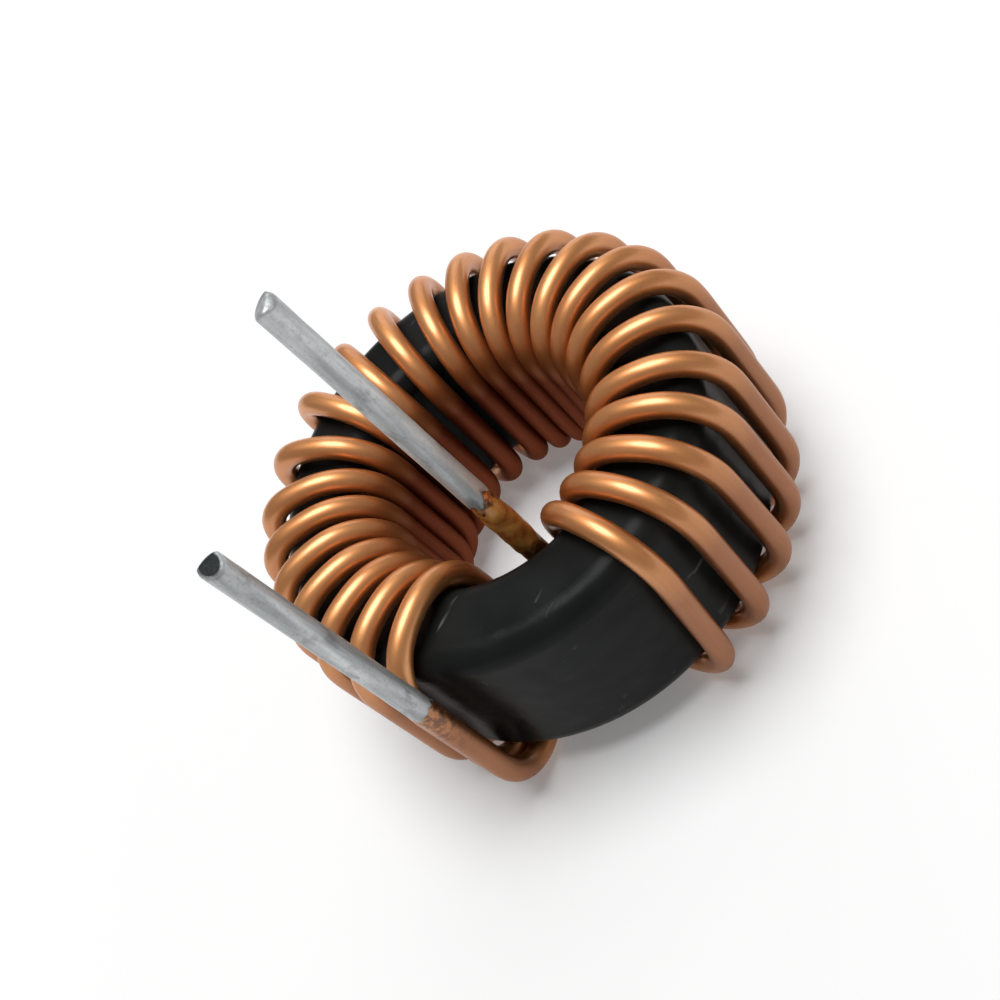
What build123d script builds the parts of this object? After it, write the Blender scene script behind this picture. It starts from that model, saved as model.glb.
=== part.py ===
from build123d import *
import os
from math import acos, cos, degrees, radians, sin, sqrt

# All sizes are in millimetres and all angles in degrees.
# The part lies on the back of its winding, with both leads standing up along +Z.
# Z is the ring's own axis and z = 0 is the surface that the winding lies on.

# Ring core: pressed powder under a thick rounded coat, one piece.
core_outer_d = 22.9
core_inner_d = 14.0
core_height = 9.5
core_edge_r = 1.2

# Enamelled copper wire, bare under the tinned ends.
copper_d = 1.12
enamel_thickness = 0.05

# The thick wire rounds the core's edges in wide bends that clear them by a hair,
# so its straight runs stand off the core's flat faces and walls.
bend_r = 3.0
edge_gap = 0.14

# Winding: angles go clockwise seen from above, from the first pass up the hole.
first_hole_angle = -65.9
# Each group: number of turns, step between them in the hole, step between them outside.
turn_groups = [
    (6, 13.9, 11.6),
    (3, 13.2, 16.5),
    (2, 15.9, 13.3),
    (2, 12.1, 12.5),
    (4, 12.1, 13.0),
    (2, 16.1, 13.9),
    (4, 12.7, 11.6),
]
# The last turn leans across the outer wall towards the bare part of the core.
last_turn_lean = 4.0

# Leads: the inner one's angle in the hole sets the line along Y that both stand on.
# Their rises are measured from the middle of the wire across the front of the ring.
inner_lead_angle = -31.2
outer_lead_stand_off = 0.5
inner_lead_rise = 17.4
outer_lead_rise = 13.0

# Solder on the stripped ends: thin where it begins on the scraped enamel, then an even coat.
tin_thickness = 0.04
tin_edge_thickness = 0.01
tin_run_out = 2.2
inner_tin_rise = 1.9
outer_tin_rise = -1.8

# Sheared tips: a ridge off the centre, with a flank each side.
tip_ridge_offset = 0.18
tip_flank_angle = 24.0
inner_tip_turn = 35.0
outer_tip_turn = 160.0

wire_d = copper_d + 2 * enamel_thickness
wire_r = wire_d / 2
copper_r = copper_d / 2
tin_r = copper_r + tin_thickness
wall = (core_outer_d - core_inner_d) / 2
# Two bends share the core's wall, so none is wider than one whose middle is nearly over the wall's middle.
widest_bend = core_edge_r + (wall / 2 - 0.05 - core_edge_r) * sqrt(2) + edge_gap + wire_r
bend = min(bend_r, widest_bend)
# The bend clears the core's edge by the gap along the diagonal, which sets how far a straight run stands off.
stand_off = bend - core_edge_r - (bend - wire_r - edge_gap - core_edge_r) / sqrt(2)
back_z = wire_r
core_base_z = wire_r + stand_off
core_top_z = core_base_z + core_height
front_z = core_top_z + stand_off
inner_lead_height = front_z + inner_lead_rise
outer_lead_height = front_z + outer_lead_rise
inner_tin_start = front_z + inner_tin_rise
outer_tin_start = front_z + outer_tin_rise
hole_r = core_inner_d / 2 - stand_off
outside_r = core_outer_d / 2 + stand_off
outer_lead_r = outside_r + outer_lead_stand_off
lead_line_x = hole_r * cos(radians(inner_lead_angle))
outer_lead_angle = -degrees(acos(lead_line_x / outer_lead_r))
# The first turn's outside run lies beside the outer lead.
first_outer_angle = outer_lead_angle - degrees(wire_d / outside_r)


def at(radius, angle, height):
    """The point at a radius and angle about the core's axis."""
    return Vector(radius * cos(radians(angle)), radius * sin(radians(angle)), height)


def turn_angles():
    """Each turn's angle in the hole and its angle outside the core."""
    hole, outside = first_hole_angle, first_outer_angle
    angles = [(hole, outside)]
    for turns, hole_step, outside_step in turn_groups:
        for _ in range(turns):
            hole -= hole_step
            outside -= outside_step
            angles.append((hole, outside))
    return angles


def winding_route():
    """The corners of the wire's whole way, from the outer lead's tinning to the inner lead's."""
    angles = turn_angles()
    route = [at(outer_lead_r, outer_lead_angle, outer_tin_start)]
    route.append(at(outer_lead_r, outer_lead_angle, back_z))
    for number, (hole, outside) in enumerate(angles, start=1):
        turns_left = len(angles) - number
        lean = {0: last_turn_lean, 1: last_turn_lean / 2}.get(turns_left, 0)
        route.append(at(hole_r, hole, back_z))
        route.append(at(hole_r, hole, front_z))
        route.append(at(outside_r, outside, front_z))
        route.append(at(outside_r, outside - lean, back_z))
    route.append(at(hole_r, inner_lead_angle, back_z))
    route.append(at(hole_r, inner_lead_angle, inner_tin_start))
    return route


def make_core():
    """The coated ring, a rounded rectangle turned about the axis."""
    middle = (core_outer_d + core_inner_d) / 4
    section = Plane.XZ * Pos(middle, core_base_z + core_height / 2) * RectangleRounded(
        wall, core_height, core_edge_r
    )
    return revolve(section, Axis.Z)


def tip_profile(radius, foot, ridge, flank):
    """A stretch of lead up to its sheared tip, as seen along the ridge."""
    drop = flank * (radius - tip_ridge_offset)
    far_drop = flank * (radius + tip_ridge_offset)
    return Polygon(
        (-radius, foot),
        (radius, foot),
        (radius, ridge - drop),
        (tip_ridge_offset, ridge),
        (-radius, ridge - far_drop),
        align=None,
    )


def make_lead_end(x, y, radius, foot, ridge, turn):
    """A round bar along Z whose upper end is sheared to an off-centre ridge."""
    flank = sin(radians(tip_flank_angle)) / cos(radians(tip_flank_angle))
    profile = Plane.XZ * tip_profile(radius, foot, ridge, flank)
    wedge = extrude(profile, amount=radius, both=True)
    bar = Pos(0, 0, foot) * Cylinder(
        radius, ridge - foot, align=(Align.CENTER, Align.CENTER, Align.MIN)
    )
    return Pos(x, y, 0) * Rot(0, 0, turn) * (bar & wedge)


def make_stripped_end(x, y, start, height, turn):
    """A wire's end under its solder: the enamel scraped down to the copper, then bare copper to the tip."""
    scraped = Pos(x, y, start) * Cone(
        wire_r,
        copper_r,
        tin_run_out,
        align=(Align.CENTER, Align.CENTER, Align.MIN),
    )
    return scraped + make_lead_end(x, y, copper_r, start + tin_run_out, height - tin_thickness, turn)


def make_tinning(x, y, start, height, turn):
    """The solder over one stripped end: a thin start, an even coat and a closed tip."""
    coat = make_lead_end(x, y, tin_r, start + tin_run_out, height, turn)
    run_out = Pos(x, y, start) * Cone(
        wire_r + tin_edge_thickness,
        tin_r,
        tin_run_out,
        align=(Align.CENTER, Align.CENTER, Align.MIN),
    )
    return coat + run_out - make_stripped_end(x, y, start, height, turn)


def make_winding():
    """One wire from lead to lead: straight runs joined by round bends, with stripped ends."""
    route = winding_route()
    bends = [bend] * (len(route) - 2)
    path = FilletPolyline(*route, radius=bends)
    section = Plane(path @ 0, z_dir=path % 0) * Circle(wire_r)
    wire = sweep(section, path)
    print("wire volume over section times length", wire.volume / (section.area * path.length))
    outer = route[0]
    inner = route[-1]
    wire += make_stripped_end(outer.X, outer.Y, outer.Z, outer_lead_height, outer_tip_turn)
    wire += make_stripped_end(inner.X, inner.Y, inner.Z, inner_lead_height, inner_tip_turn)
    return wire


inner_lead = at(hole_r, inner_lead_angle, 0)
outer_lead = at(outer_lead_r, outer_lead_angle, 0)
parts = {
    "ring_core": make_core(),
    "winding_wire": make_winding(),
    "inner_lead_tinning": make_tinning(
        inner_lead.X, inner_lead.Y, inner_tin_start, inner_lead_height, inner_tip_turn
    ),
    "outer_lead_tinning": make_tinning(
        outer_lead.X, outer_lead.Y, outer_tin_start, outer_lead_height, outer_tip_turn
    ),
}

os.makedirs("parts", exist_ok=True)
for name, part in parts.items():
    part.label = name
    export_step(part, f"parts/{name}.step")
print("turns", len(turn_angles()), "lead pitch", inner_lead.Y - outer_lead.Y)
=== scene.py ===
from math import acos, cos, degrees, pi, radians, sin, tan

import bpy
import numpy as np
from mathutils import Matrix, Vector, noise


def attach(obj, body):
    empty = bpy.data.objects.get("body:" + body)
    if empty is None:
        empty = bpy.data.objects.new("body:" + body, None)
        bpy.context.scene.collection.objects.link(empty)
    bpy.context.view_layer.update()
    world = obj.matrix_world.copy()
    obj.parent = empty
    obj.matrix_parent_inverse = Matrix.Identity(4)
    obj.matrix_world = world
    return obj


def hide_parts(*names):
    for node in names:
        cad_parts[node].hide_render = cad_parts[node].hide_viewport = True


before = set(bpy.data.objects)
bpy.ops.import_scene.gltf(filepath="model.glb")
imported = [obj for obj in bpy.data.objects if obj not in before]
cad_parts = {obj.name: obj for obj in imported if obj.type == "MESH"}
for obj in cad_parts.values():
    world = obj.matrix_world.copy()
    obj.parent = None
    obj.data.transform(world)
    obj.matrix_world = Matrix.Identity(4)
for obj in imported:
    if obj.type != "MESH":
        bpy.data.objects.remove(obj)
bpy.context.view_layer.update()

MM = 0.001

# ---------------------------------------------------------------------------
# Sizes, in millimetres and degrees, as in the CAD part
# ---------------------------------------------------------------------------
core_outer_r = 11.45
core_inner_r = 7.0
core_height = 9.5
core_edge_r = 1.2
wire_r = 0.61
copper_r = 0.56
tin_r = 0.60
bend_r = 3.0
edge_gap = 0.14
inner_lead_angle = -31.2
outer_lead_stand_off = 0.5
inner_lead_rise = 17.4
outer_lead_rise = 13.0
inner_tin_rise = 1.9
outer_tin_rise = -1.8
first_hole_angle = -65.9
turn_groups = [
    (6, 13.9, 11.6),
    (3, 13.2, 16.5),
    (2, 15.9, 13.3),
    (2, 12.1, 12.5),
    (4, 12.1, 13.0),
    (2, 16.1, 13.9),
    (4, 12.7, 11.6),
]
last_turn_lean = 4.0
# Some turns were pulled tighter round the core's outer wall than the rest.
tight_turns = {2: 0.4, 3: 0.8, 4: 1, 5: 1, 6: 1, 7: 1, 8: 1, 9: 1, 10: 0.9, 11: 0.6, 12: 0.3}
tight_pull = 0.40
tight_bend = 0.80

stand_off = bend_r - core_edge_r - (bend_r - wire_r - edge_gap - core_edge_r) / 2**0.5
back_z = wire_r
core_base_z = wire_r + stand_off
core_top_z = core_base_z + core_height
front_z = core_top_z + stand_off
hole_r = core_inner_r - stand_off
outside_r = core_outer_r + stand_off
outer_lead_r = outside_r + outer_lead_stand_off
outer_lead_angle = -degrees(acos(hole_r * cos(radians(inner_lead_angle)) / outer_lead_r))
first_outer_angle = outer_lead_angle - degrees(2 * wire_r / outside_r)
inner_lead_height = front_z + inner_lead_rise
outer_lead_height = front_z + outer_lead_rise
inner_tin_start = front_z + inner_tin_rise
outer_tin_start = front_z + outer_tin_rise

# ---------------------------------------------------------------------------
# What the visual model adds to those sizes, in millimetres
# ---------------------------------------------------------------------------
# The wire: its mesh, the bare stretch under each solder coat, and the unevenness of hand winding.
wire_step = 0.25
wire_sides = 24
bend_points = 14
bend_ease = 2
scraped_length = 2.0
scraped_slope = 0.4
hand_sway = 0.10
hand_lift = 0.12
scorch_end = 6.0
scorch_fade = 2.5

# How gradually the wire's painted shade comes in: into the hole, outside the core, and down its
# height.
hole_fade = 0.8
wall_fade = 1.0
depth_fade = 3.5

# The solder coats: their mesh, ragged foot, lumps and sheared tip.
# Each tip's cut is turned about its lead, in degrees.
tin_step = 0.12
tin_sides = 40
tin_run_out = 2.2
tongue_length = 1.1
foot_flare = 0.015
lump_size = 0.016
tip_ridge_offset = 0.18
tip_flank = tan(radians(24.0))
tip_bevel = 0.07
tip_bevel_height = 0.12
tip_crown = 0.006
tip_rings = 4
inner_tip_turn = 35
outer_tip_turn = 160

# The flux residue on the wire under the inner lead's solder.
residue_rows = 60
residue_sides = 48
residue_low = core_top_z - 1.6
residue_high = inner_tin_start + 0.5
residue_skin = 0.01
residue_thickness = 0.13

# ---------------------------------------------------------------------------
# Camera
# ---------------------------------------------------------------------------
camera_target = Vector((-0.8, -0.8, 6.9)) * MM
camera_distance = 80.1 * MM
camera_bearing = -15.93
camera_elevation = 45.83
camera_roll = -47.7
camera_lens = 58.5


def make_camera():
    """A camera above the leads' side, rolled so that the leads point to the upper left."""
    bearing, rise = radians(camera_bearing), radians(camera_elevation)
    towards = Vector((cos(rise) * cos(bearing), cos(rise) * sin(bearing), sin(rise)))
    data = bpy.data.cameras.new("camera")
    data.lens = camera_lens
    data.sensor_width = 36
    data.clip_start = 0.001
    camera = bpy.data.objects.new("camera", data)
    bpy.context.scene.collection.objects.link(camera)
    roll = Matrix.Rotation(radians(camera_roll), 3, "Z").to_quaternion()
    turn = (towards.to_track_quat("Z", "Y") @ roll).to_matrix().to_4x4()
    camera.matrix_world = Matrix.Translation(camera_target + towards * camera_distance) @ turn
    bpy.context.scene.camera = camera


# ---------------------------------------------------------------------------
# Shader helpers
# ---------------------------------------------------------------------------
class Shader:
    """A material under construction: makes and joins nodes by short calls."""

    def __init__(self, name):
        self.material = bpy.data.materials.new(name)
        self.material.use_nodes = True
        self.tree = self.material.node_tree
        self.tree.nodes.clear()
        self.output = self.node("ShaderNodeOutputMaterial")

    def node(self, kind, **settings):
        made = self.tree.nodes.new(kind)
        for key, value in settings.items():
            setattr(made, key, value)
        return made

    def feed(self, socket, value):
        if isinstance(value, bpy.types.NodeSocket):
            self.tree.links.new(value, socket)
        else:
            socket.default_value = value

    def principled(self, **inputs):
        made = self.node("ShaderNodeBsdfPrincipled")
        for key, value in inputs.items():
            self.feed(made.inputs[key.replace("_", " ")], value)
        self.tree.links.new(made.outputs[0], self.output.inputs[0])
        return made

    def place(self):
        return self.node("ShaderNodeTexCoord").outputs["Object"]

    def attribute(self, name):
        output = "Vector" if name == "wire_space" else "Fac"
        return self.node("ShaderNodeAttribute", attribute_name=name).outputs[output]

    def stretched(self, vector, scale):
        made = self.node("ShaderNodeMapping")
        self.feed(made.inputs["Vector"], vector)
        self.feed(made.inputs["Scale"], scale)
        return made.outputs[0]

    def noise(self, vector, scale, detail=3.0, roughness=0.5, distortion=0.0):
        made = self.node("ShaderNodeTexNoise")
        self.feed(made.inputs["Vector"], vector)
        self.feed(made.inputs["Scale"], scale)
        self.feed(made.inputs["Detail"], detail)
        self.feed(made.inputs["Roughness"], roughness)
        self.feed(made.inputs["Distortion"], distortion)
        return made.outputs["Fac"]

    def spread(self, value, low, high, to_low=0.0, to_high=1.0):
        made = self.node("ShaderNodeMapRange", clamp=True)
        for index, given in enumerate((value, low, high, to_low, to_high)):
            self.feed(made.inputs[index], given)
        return made.outputs[0]

    def math(self, operation, *values):
        made = self.node("ShaderNodeMath", operation=operation)
        for index, given in enumerate(values):
            self.feed(made.inputs[index], given)
        return made.outputs[0]

    def blend(self, factor, first, second):
        made = self.node("ShaderNodeMix", data_type="RGBA")
        self.feed(made.inputs[0], factor)
        self.feed(made.inputs[6], first)
        self.feed(made.inputs[7], second)
        return made.outputs[2]

    def bump(self, height, strength, distance, normal=None):
        made = self.node("ShaderNodeBump")
        self.feed(made.inputs["Strength"], strength)
        self.feed(made.inputs["Distance"], distance)
        self.feed(made.inputs["Height"], height)
        if normal is not None:
            self.feed(made.inputs["Normal"], normal)
        return made.outputs[0]


def enamelled_copper():
    """Copper under clear amber enamel, with faint drawing lines, and painted shade: darker, redder
    and duller in the hole, darker low on the outer wall.
    """
    s = Shader("enamelled_copper")
    along = s.attribute("wire_space")
    hole_shade = s.attribute("hole_shade_depth")
    outer = s.attribute("outer_wall_shade")
    patches = s.noise(s.stretched(along, (1.0, 1.0, 0.25)), 0.9, detail=2.0)
    lines = s.noise(s.stretched(along, (1.0, 1.0, 0.03)), 9.0, detail=3.0, roughness=0.6)
    specks = s.noise(along, 5.0, detail=4.0, roughness=0.65)
    tone = s.blend(s.spread(patches, 0.3, 0.7), (0.74, 0.330, 0.120, 1), (0.64, 0.255, 0.080, 1))
    tone = s.blend(s.spread(specks, 0.55, 0.8, 0.0, 0.35), tone, (0.42, 0.15, 0.04, 1))
    scorch = s.spread(s.noise(along, 2.2, detail=5.0, roughness=0.7), 0.42, 0.56)
    burnt = s.math("MULTIPLY", s.attribute("near_solder"), scorch)
    tone = s.blend(s.math("MULTIPLY", burnt, 0.9), tone, (0.075, 0.040, 0.025, 1))
    # Painted shade: low on the outer wall the wire darkens to a dull brown.
    tone = s.blend(s.math("MULTIPLY", outer, 0.74), tone, (0.20, 0.068, 0.032, 1))
    # Painted shade: deep in the hole the wire darkens to a dark red-brown.
    tone = s.blend(s.math("MULTIPLY", hole_shade, 0.92), tone, (0.15, 0.020, 0.007, 1))
    rough = s.math("ADD", s.spread(lines, 0.3, 0.7, 0.38, 0.50), s.math("MULTIPLY", hole_shade, 0.10))
    fine = s.bump(lines, 0.12, 0.00004)
    soft = s.bump(patches, 0.25, 0.0001, fine)
    # Less coat in the hole and low on the outer wall dims the reflections there, along with the
    # painted shade.
    varnish = s.math("MULTIPLY_ADD", hole_shade, -0.68, 0.75)
    varnish = s.math("SUBTRACT", varnish, s.math("MULTIPLY", outer, 0.25))
    s.principled(
        Base_Color=tone,
        Metallic=0.85,
        Roughness=rough,
        Normal=soft,
        Specular_Tint=(0.84, 0.52, 0.34, 1),
        Coat_Weight=varnish,
        Coat_Roughness=0.20,
        Coat_IOR=1.6,
    )
    return s.material


def core_coat():
    """Thick black epoxy: semi-gloss, slightly wavy, with dust and a few small rubs."""
    s = Shader("core_coat")
    place = s.place()
    waves = s.noise(place, 260.0, detail=2.0)
    peel = s.noise(place, 1500.0, detail=2.0)
    dust = s.noise(place, 5200.0, detail=4.0, roughness=0.7)
    rub = s.spread(s.noise(place, 700.0, detail=4.0, distortion=1.2), 0.60, 0.74)
    shade = s.spread(waves, 0.3, 0.7)
    tone = s.blend(shade, (0.0085, 0.0094, 0.0090, 1), (0.0165, 0.0182, 0.0175, 1))
    tone = s.blend(s.spread(dust, 0.66, 0.82, 0.0, 0.35), tone, (0.10, 0.105, 0.105, 1))
    strokes = s.noise(s.stretched(place, (1.0, 0.10, 0.6)), 2600.0, detail=3.0, roughness=0.6)
    scratch = s.math("MULTIPLY", s.spread(strokes, 0.66, 0.70), s.spread(waves, 0.52, 0.60))
    tone = s.blend(s.math("MULTIPLY", scratch, 0.7), tone, (0.13, 0.14, 0.135, 1))
    rough = s.math("ADD", s.spread(waves, 0.3, 0.7, 0.27, 0.37), s.math("MULTIPLY", rub, 0.14))
    shape = s.bump(waves, 0.6, 0.00035)
    fine = s.bump(peel, 0.22, 0.00003, shape)
    s.principled(Base_Color=tone, Roughness=rough, Normal=fine, Specular_IOR_Level=0.08)
    return s.material


def solder():
    """Dull grey dipped solder: finely grained, with darker drags along the lead and flux stains."""
    s = Shader("solder")
    place = s.place()
    cut = s.attribute("cut_face")
    drags = s.noise(s.stretched(place, (1.0, 1.0, 0.10)), 1700.0, detail=4.0, roughness=0.6)
    stains = s.noise(s.stretched(place, (1.0, 1.0, 0.5)), 900.0, detail=4.0, roughness=0.6)
    grain = s.noise(place, 7000.0, detail=4.0, roughness=0.75)
    tone = s.blend(s.spread(drags, 0.35, 0.65), (0.66, 0.68, 0.69, 1), (0.36, 0.375, 0.38, 1))
    tone = s.blend(s.spread(stains, 0.56, 0.70, 0.0, 0.7), tone, (0.15, 0.155, 0.14, 1))
    tone = s.blend(s.spread(grain, 0.55, 0.75, 0.0, 0.5), tone, (0.22, 0.23, 0.23, 1))
    tone = s.blend(cut, tone, (0.022, 0.025, 0.025, 1))
    rough = s.math("MULTIPLY_ADD", cut, 0.12, s.spread(grain, 0.3, 0.7, 0.38, 0.58))
    uneven = s.bump(drags, 0.5, 0.00010)
    fine = s.bump(grain, 0.5, 0.00003, uneven)
    s.principled(Base_Color=tone, Metallic=0.80, Roughness=rough, Normal=fine)
    return s.material


def residue():
    """Amber soldering residue: glassy and brittle, light where it is thick."""
    s = Shader("residue")
    place = s.place()
    cloud = s.noise(place, 1400.0, detail=4.0)
    tone = s.blend(s.spread(cloud, 0.35, 0.65), (0.44, 0.13, 0.025, 1), (0.80, 0.37, 0.085, 1))
    shape = s.bump(cloud, 0.4, 0.0001)
    s.principled(Base_Color=tone, Roughness=0.22, Normal=shape, Transmission_Weight=0.15, IOR=1.5)
    return s.material


# ---------------------------------------------------------------------------
# The wire
# ---------------------------------------------------------------------------
def at(radius, angle, height):
    """A point in millimetres round the core's axis, with the angle in degrees."""
    return np.array((radius * cos(radians(angle)), radius * sin(radians(angle)), height))


def turn_angles():
    """Each turn's angle in the hole and its angle outside the core."""
    hole, outside = first_hole_angle, first_outer_angle
    angles = [(hole, outside)]
    for turns, hole_step, outside_step in turn_groups:
        for _ in range(turns):
            hole -= hole_step
            outside -= outside_step
            angles.append((hole, outside))
    return angles


def winding_route():
    """The corners of the wire's way and the bend at each, from one solder coat to the other."""
    angles = turn_angles()
    route = [(at(outer_lead_r, outer_lead_angle, outer_tin_start + scraped_length), 0)]
    route.append((at(outer_lead_r, outer_lead_angle, back_z), bend_r))
    for number, (hole, outside) in enumerate(angles, start=1):
        turns_left = len(angles) - number
        lean = {0: last_turn_lean, 1: last_turn_lean / 2}.get(turns_left, 0)
        tight = tight_turns.get(number, 0)
        shoulder = bend_r - tight * tight_bend
        wall_run = outside_r - tight * tight_pull
        route.append((at(hole_r, hole, back_z), bend_r))
        route.append((at(hole_r, hole, front_z), bend_r))
        route.append((at(wall_run, outside, front_z), shoulder))
        route.append((at(wall_run, outside - lean, back_z), shoulder))
    route.append((at(hole_r, inner_lead_angle, back_z), bend_r))
    route.append((at(hole_r, inner_lead_angle, inner_tin_start + scraped_length), 0))
    return route


def rounded(route, step):
    """The route with round bends, as evenly spaced points."""
    points = [route[0][0]]
    for (before, _), (corner, radius), (after, _) in zip(route, route[1:], route[2:]):
        back = (before - corner) / np.linalg.norm(before - corner)
        on = (after - corner) / np.linalg.norm(after - corner)
        half = acos(np.clip(back @ on, -1, 1)) / 2
        middle = (back + on) / np.linalg.norm(back + on)
        centre = corner + middle * radius / sin(half)
        start = corner + back * radius / tan(half) - centre
        end = corner + on * radius / tan(half) - centre
        sweep = acos(np.clip(start @ end / radius**2, -1, 1))
        for share in np.linspace(0, 1, bend_points):
            arm = (sin((1 - share) * sweep) * start + sin(share * sweep) * end) / sin(sweep)
            points.append(centre + arm)
    points.append(route[-1][0])
    points = np.array(points)
    lengths = np.r_[0, np.cumsum(np.linalg.norm(np.diff(points, axis=0), axis=1))]
    even = np.linspace(0, lengths[-1], int(lengths[-1] / step) + 1)
    return np.column_stack([np.interp(even, lengths, points[:, i]) for i in range(3)])


def smoothed(points, spread):
    """The same line with its bends eased into its straight runs; the ends stay."""
    reach = 3 * spread
    weights = np.exp(-0.5 * (np.arange(-reach, reach + 1) / spread) ** 2)
    weights /= weights.sum()
    head = points[0] + (points[0] - points[1]) * np.arange(reach, 0, -1)[:, None]
    tail = points[-1] + (points[-1] - points[-2]) * np.arange(1, reach + 1)[:, None]
    padded = np.vstack([head, points, tail])
    return np.column_stack([np.convolve(padded[:, i], weights, "valid") for i in range(3)])


def tube(name, points, radii, sides):
    """A mesh tube along points, with wire_space: across the wire, and length along it, in mm."""
    points = np.asarray(points)
    tangents = np.gradient(points, axis=0)
    tangents /= np.linalg.norm(tangents, axis=1)[:, None]
    side = np.cross(tangents[0], (0.3, 0.9, 0.2))
    side /= np.linalg.norm(side)
    lengths = np.r_[0, np.cumsum(np.linalg.norm(np.diff(points, axis=0), axis=1))]
    verts, space = [], []
    for point, tangent, radius, length in zip(points, tangents, radii, lengths):
        side = side - tangent * (side @ tangent)
        side /= np.linalg.norm(side)
        other = np.cross(tangent, side)
        for k in range(sides):
            c, s = cos(2 * pi * k / sides), sin(2 * pi * k / sides)
            verts.append((point + radius * (c * side + s * other)) * MM)
            space.append((c * wire_r, s * wire_r, length))
    faces = []
    for ring in range(len(points) - 1):
        for k in range(sides):
            a, b = ring * sides + k, ring * sides + (k + 1) % sides
            faces.append((a, b, b + sides, a + sides))
    faces.append(tuple(reversed(range(sides))))
    last = (len(points) - 1) * sides
    faces.append(tuple(range(last, last + sides)))
    piece = mesh_piece(name, verts, faces)
    layer = piece.data.attributes.new("wire_space", "FLOAT_VECTOR", "POINT")
    layer.data.foreach_set("vector", np.array(space, dtype=np.float32).ravel())
    spots = np.array(verts) / MM
    out = np.hypot(spots[:, 0], spots[:, 1])
    from_end = np.repeat(np.minimum(lengths, lengths[-1] - lengths), sides)
    inside = np.clip((core_inner_r + hole_fade / 2 - out) / hole_fade, 0, 1)
    around = np.clip((out - core_outer_r + 0.2) / wall_fade, 0, 1)
    below = np.clip((core_top_z + 0.6 - spots[:, 2]) / depth_fade, 0, 1)
    # Mask for the painted shade deep in the hole.
    mask(piece, "hole_shade_depth", inside * below)
    # Mask for the painted shade low on the outer wall.
    mask(piece, "outer_wall_shade", around * below)
    mask(piece, "near_solder", np.clip((scorch_end - from_end) / scorch_fade, 0, 1))
    return piece


def mask(piece, name, values):
    """A number at each vertex, which a material reads by its name."""
    layer = piece.data.attributes.new(name, "FLOAT", "POINT")
    layer.data.foreach_set("value", values.astype(np.float32))


def mesh_piece(name, verts, faces):
    """A smooth-shaded object made of points in metres."""
    mesh = bpy.data.meshes.new(name)
    mesh.from_pydata([tuple(v) for v in verts], [], faces)
    mesh.validate()
    mesh.update()
    mesh.shade_smooth()
    piece = bpy.data.objects.new(name, mesh)
    bpy.context.scene.collection.objects.link(piece)
    return piece


def swayed(points):
    """Small unevenness of hand winding: nothing in the crowded hole, most on the outside."""
    moved = points.copy()
    lengths = np.arange(len(points)) * wire_step
    for i, (x, y, z) in enumerate(points):
        radius = (x * x + y * y) ** 0.5
        free = np.clip((radius - hole_r - 0.8) / (outside_r - hole_r - 0.8), 0, 1)
        if radius > outside_r + 0.05:
            continue
        sway = hand_sway * free * noise.noise((lengths[i] * 0.09, 3.7, 1.3))
        lift = hand_lift * free * (1 - free) * 4 * noise.noise((lengths[i] * 0.07, 8.1, 5.9))
        moved[i] += np.array((-y, x, 0)) / radius * sway
        moved[i, 2] += lift if z > core_top_z else 0
    return moved


def make_winding():
    """The whole wire, from the bare copper in one solder coat to that in the other."""
    points = smoothed(rounded(winding_route(), wire_step), bend_ease)
    points = swayed(points)
    from_end = np.minimum(np.arange(len(points)), np.arange(len(points))[::-1]) * wire_step
    enamel = np.clip(from_end / (scraped_length + scraped_slope), 0.05, 1)
    radii = copper_r + (wire_r - copper_r) * enamel
    piece = tube("winding", points, radii, wire_sides)
    piece.data.materials.append(enamelled_copper())
    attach(piece, "root")
    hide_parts("winding_wire")


# ---------------------------------------------------------------------------
# The tinned leads
# ---------------------------------------------------------------------------
def beside(centre, radius, angle, height):
    """The point at a radius and an angle round an upright lead, in metres."""
    return (
        (centre[0] + radius * cos(angle)) * MM,
        (centre[1] + radius * sin(angle)) * MM,
        height * MM,
    )


def make_lead(name, node, centre, start, height, turn, seed, tarnish, material):
    """One solder coat: a ragged foot, a slightly lumpy barrel and a sheared tip."""
    rows = int((height - start) / tin_step)
    verts, faces = [], []
    for row in range(rows + 1):
        share = row / rows
        for k in range(tin_sides):
            angle = 2 * pi * k / tin_sides
            tongues = noise.noise((cos(angle) * 2.2, sin(angle) * 2.2, seed)) + 0.35
            foot = start + tongue_length * np.clip(tongues, 0, 1)
            across = tin_r * cos(angle - turn)
            slope = tip_flank * abs(across - tip_ridge_offset)
            top = height - slope
            z = foot + (top - foot) * share
            run_out = np.clip(1 - (z - foot) / tin_run_out, 0, 1)
            lump = lump_size * noise.noise((cos(angle), sin(angle), z * 0.8 + seed))
            radius = tin_r + foot_flare * run_out - abs(lump) * (1 - run_out)
            edge = np.clip((top - z) / tip_bevel_height, 0, 1)
            radius -= tip_bevel * (1 - edge) ** 2
            verts.append(beside(centre, radius, angle, z))
    for row in range(rows):
        for k in range(tin_sides):
            a, b = row * tin_sides + k, row * tin_sides + (k + 1) % tin_sides
            faces.append((a, b, b + tin_sides, a + tin_sides))
    rim = rows * tin_sides
    for ring in range(1, tip_rings + 1):
        scale = 1 - ring / (tip_rings + 1)
        for k in range(tin_sides):
            angle = 2 * pi * k / tin_sides
            reach = (tin_r - tip_bevel) * scale
            across = reach * cos(angle - turn)
            z = height - tip_flank * abs(across - tip_ridge_offset) + tip_crown
            verts.append(beside(centre, reach, angle, min(z, height)))
    for ring in range(tip_rings):
        for k in range(tin_sides):
            a, b = rim + ring * tin_sides + k, rim + ring * tin_sides + (k + 1) % tin_sides
            faces.append((a, b, b + tin_sides, a + tin_sides))
    last = rim + tip_rings * tin_sides
    faces.append(tuple(range(last, last + tin_sides)))
    faces.append(tuple(reversed(range(tin_sides))))
    piece = mesh_piece(name, verts, faces)
    cut = np.zeros(len(verts))
    cut[rim + tin_sides :] = tarnish
    mask(piece, "cut_face", cut)
    piece.data.materials.append(material)
    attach(piece, "root")
    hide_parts(node)


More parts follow.
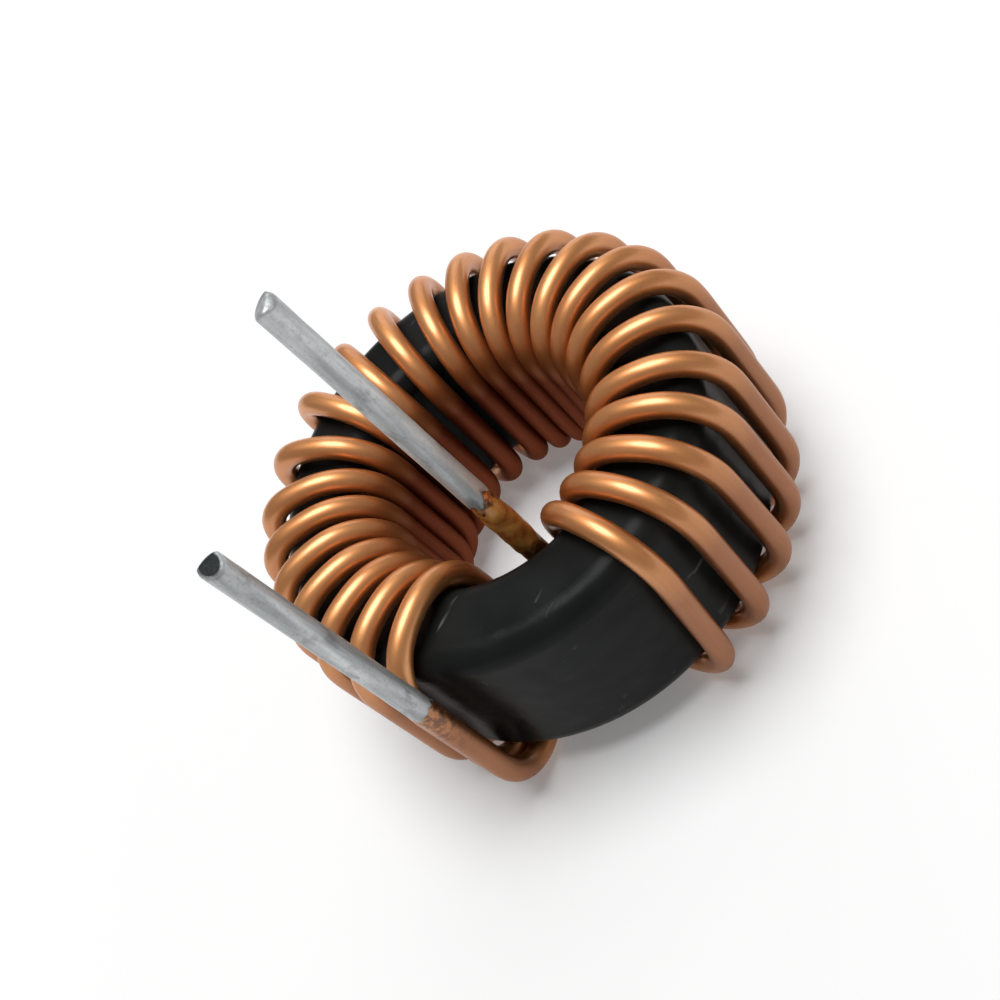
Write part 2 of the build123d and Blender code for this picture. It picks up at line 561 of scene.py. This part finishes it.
def make_leads():
    material = solder()
    inner = at(hole_r, inner_lead_angle, 0)
    outer = at(outer_lead_r, outer_lead_angle, 0)
    make_lead(
        "inner_lead", "inner_lead_tinning", inner, inner_tin_start, inner_lead_height,
        turn=radians(inner_tip_turn), seed=2.4, tarnish=0.10, material=material,
    )
    make_lead(
        "outer_lead", "outer_lead_tinning", outer, outer_tin_start, outer_lead_height,
        turn=radians(outer_tip_turn), seed=7.9, tarnish=1.0, material=material,
    )


def make_residue():
    """A thin uneven smear of amber flux round the wire at the inner lead's foot."""
    centre = at(hole_r, inner_lead_angle, 0)
    rows, sides = residue_rows, residue_sides
    verts, faces = [], []
    for row in range(rows + 1):
        share = row / rows
        z = residue_low + (residue_high - residue_low) * share
        for k in range(sides):
            angle = 2 * pi * k / sides
            spot = Vector((cos(angle) * 0.9, sin(angle) * 0.9, z * 0.85))
            patch = noise.noise(spot + Vector((4.0, 1.0, 9.0))) + 0.10
            fine = noise.noise(spot * 3.0) * 0.20
            ragged = 0.9 * noise.noise(Vector((cos(angle) * 1.5, sin(angle) * 1.5, 7.0)))
            ends = np.clip(min(6 * share, 6 * (1 - share)) - 0.7 + ragged, -1, 1)
            thick = min(ends, 0.35 + 0.8 * patch + 0.3 * fine)
            radius = wire_r - residue_skin + residue_thickness * thick
            verts.append(beside(centre, radius, angle, z))
    for row in range(rows):
        for k in range(sides):
            a, b = row * sides + k, row * sides + (k + 1) % sides
            faces.append((a, b, b + sides, a + sides))
    faces.append(tuple(reversed(range(sides))))
    faces.append(tuple(range(rows * sides, (rows + 1) * sides)))
    piece = mesh_piece("flux_residue", verts, faces)
    piece.data.materials.append(residue())
    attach(piece, "root")


def dress_core():
    """The core keeps its CAD shape and gets its material."""
    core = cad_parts["ring_core"]
    core.data.materials.clear()
    core.data.materials.append(core_coat())


# ---------------------------------------------------------------------------
# Stage: lengths in metres
# ---------------------------------------------------------------------------
floor_half = 1.5
floor_grey = 0.86
glow_near, glow_far = 0.03, 0.40
glow_least, glow_most = 0.17, 0.95
world_light = 0.14
world_mirrored = 0.32


def make_floor():
    """A pale floor that keeps the shadow, and goes white away from the part."""
    half = floor_half
    verts = [(-half, -half, 0), (half, -half, 0), (half, half, 0), (-half, half, 0)]
    floor = mesh_piece("floor", verts, [(0, 1, 2, 3)])
    s = Shader("floor")
    light = s.node("ShaderNodeLightPath").outputs
    mirrored = s.math("MAXIMUM", light["Is Glossy Ray"], light["Is Transmission Ray"])
    seen = s.math("MAXIMUM", light["Is Camera Ray"], mirrored)
    diffuse = s.node("ShaderNodeBsdfDiffuse")
    s.feed(diffuse.inputs["Color"], (floor_grey, floor_grey, floor_grey, 1))
    glow = s.node("ShaderNodeEmission")
    s.feed(glow.inputs["Color"], (1, 1, 1, 1))
    away = s.node("ShaderNodeVectorMath", operation="LENGTH")
    s.feed(away.inputs[0], s.place())
    glow_level = s.spread(away.outputs["Value"], glow_near, glow_far, glow_least, glow_most)
    s.feed(glow.inputs["Strength"], s.math("MULTIPLY", seen, glow_level))
    add = s.node("ShaderNodeAddShader")
    s.tree.links.new(diffuse.outputs[0], add.inputs[0])
    s.tree.links.new(glow.outputs[0], add.inputs[1])
    s.tree.links.new(add.outputs[0], s.output.inputs[0])
    floor.data.materials.append(s.material)


def area_light(name, towards, distance, size, power):
    """A round lamp at a distance from the part, facing it."""
    data = bpy.data.lights.new(name, "AREA")
    data.shape = "DISK"
    data.size = size
    data.energy = power
    lamp = bpy.data.objects.new(name, data)
    bpy.context.scene.collection.objects.link(lamp)
    way = Vector(towards).normalized()
    turn = way.to_track_quat("Z", "Y").to_matrix().to_4x4()
    lamp.matrix_world = Matrix.Translation(camera_target + way * distance) @ turn


def make_light():
    """A large soft lamp overhead, a weak one behind, and a world that the camera sees as white."""
    area_light("key", (-0.05, 0.12, 0.98), distance=0.35, size=0.27, power=1.17)
    area_light("fill", (-0.6, 0.7, 0.35), distance=0.45, size=0.30, power=0.20)
    world = bpy.data.worlds.new("world")
    world.use_nodes = True
    tree = world.node_tree
    back = tree.nodes["Background"]
    back.inputs["Color"].default_value = (1, 1, 1, 1)
    light = tree.nodes.new("ShaderNodeLightPath").outputs
    glossy = tree.nodes.new("ShaderNodeMapRange")
    tree.links.new(light["Is Glossy Ray"], glossy.inputs["Value"])
    glossy.inputs["To Min"].default_value = world_light
    glossy.inputs["To Max"].default_value = world_mirrored
    level = tree.nodes.new("ShaderNodeMath")
    level.operation = "MAXIMUM"
    tree.links.new(light["Is Camera Ray"], level.inputs[0])
    tree.links.new(glossy.outputs[0], level.inputs[1])
    tree.links.new(level.outputs[0], back.inputs["Strength"])
    bpy.context.scene.world = world


bpy.context.scene.view_settings.view_transform = "Standard"
make_camera()
make_winding()
make_leads()
make_residue()
dress_core()
make_floor()
make_light()

bpy.context.view_layer.update()
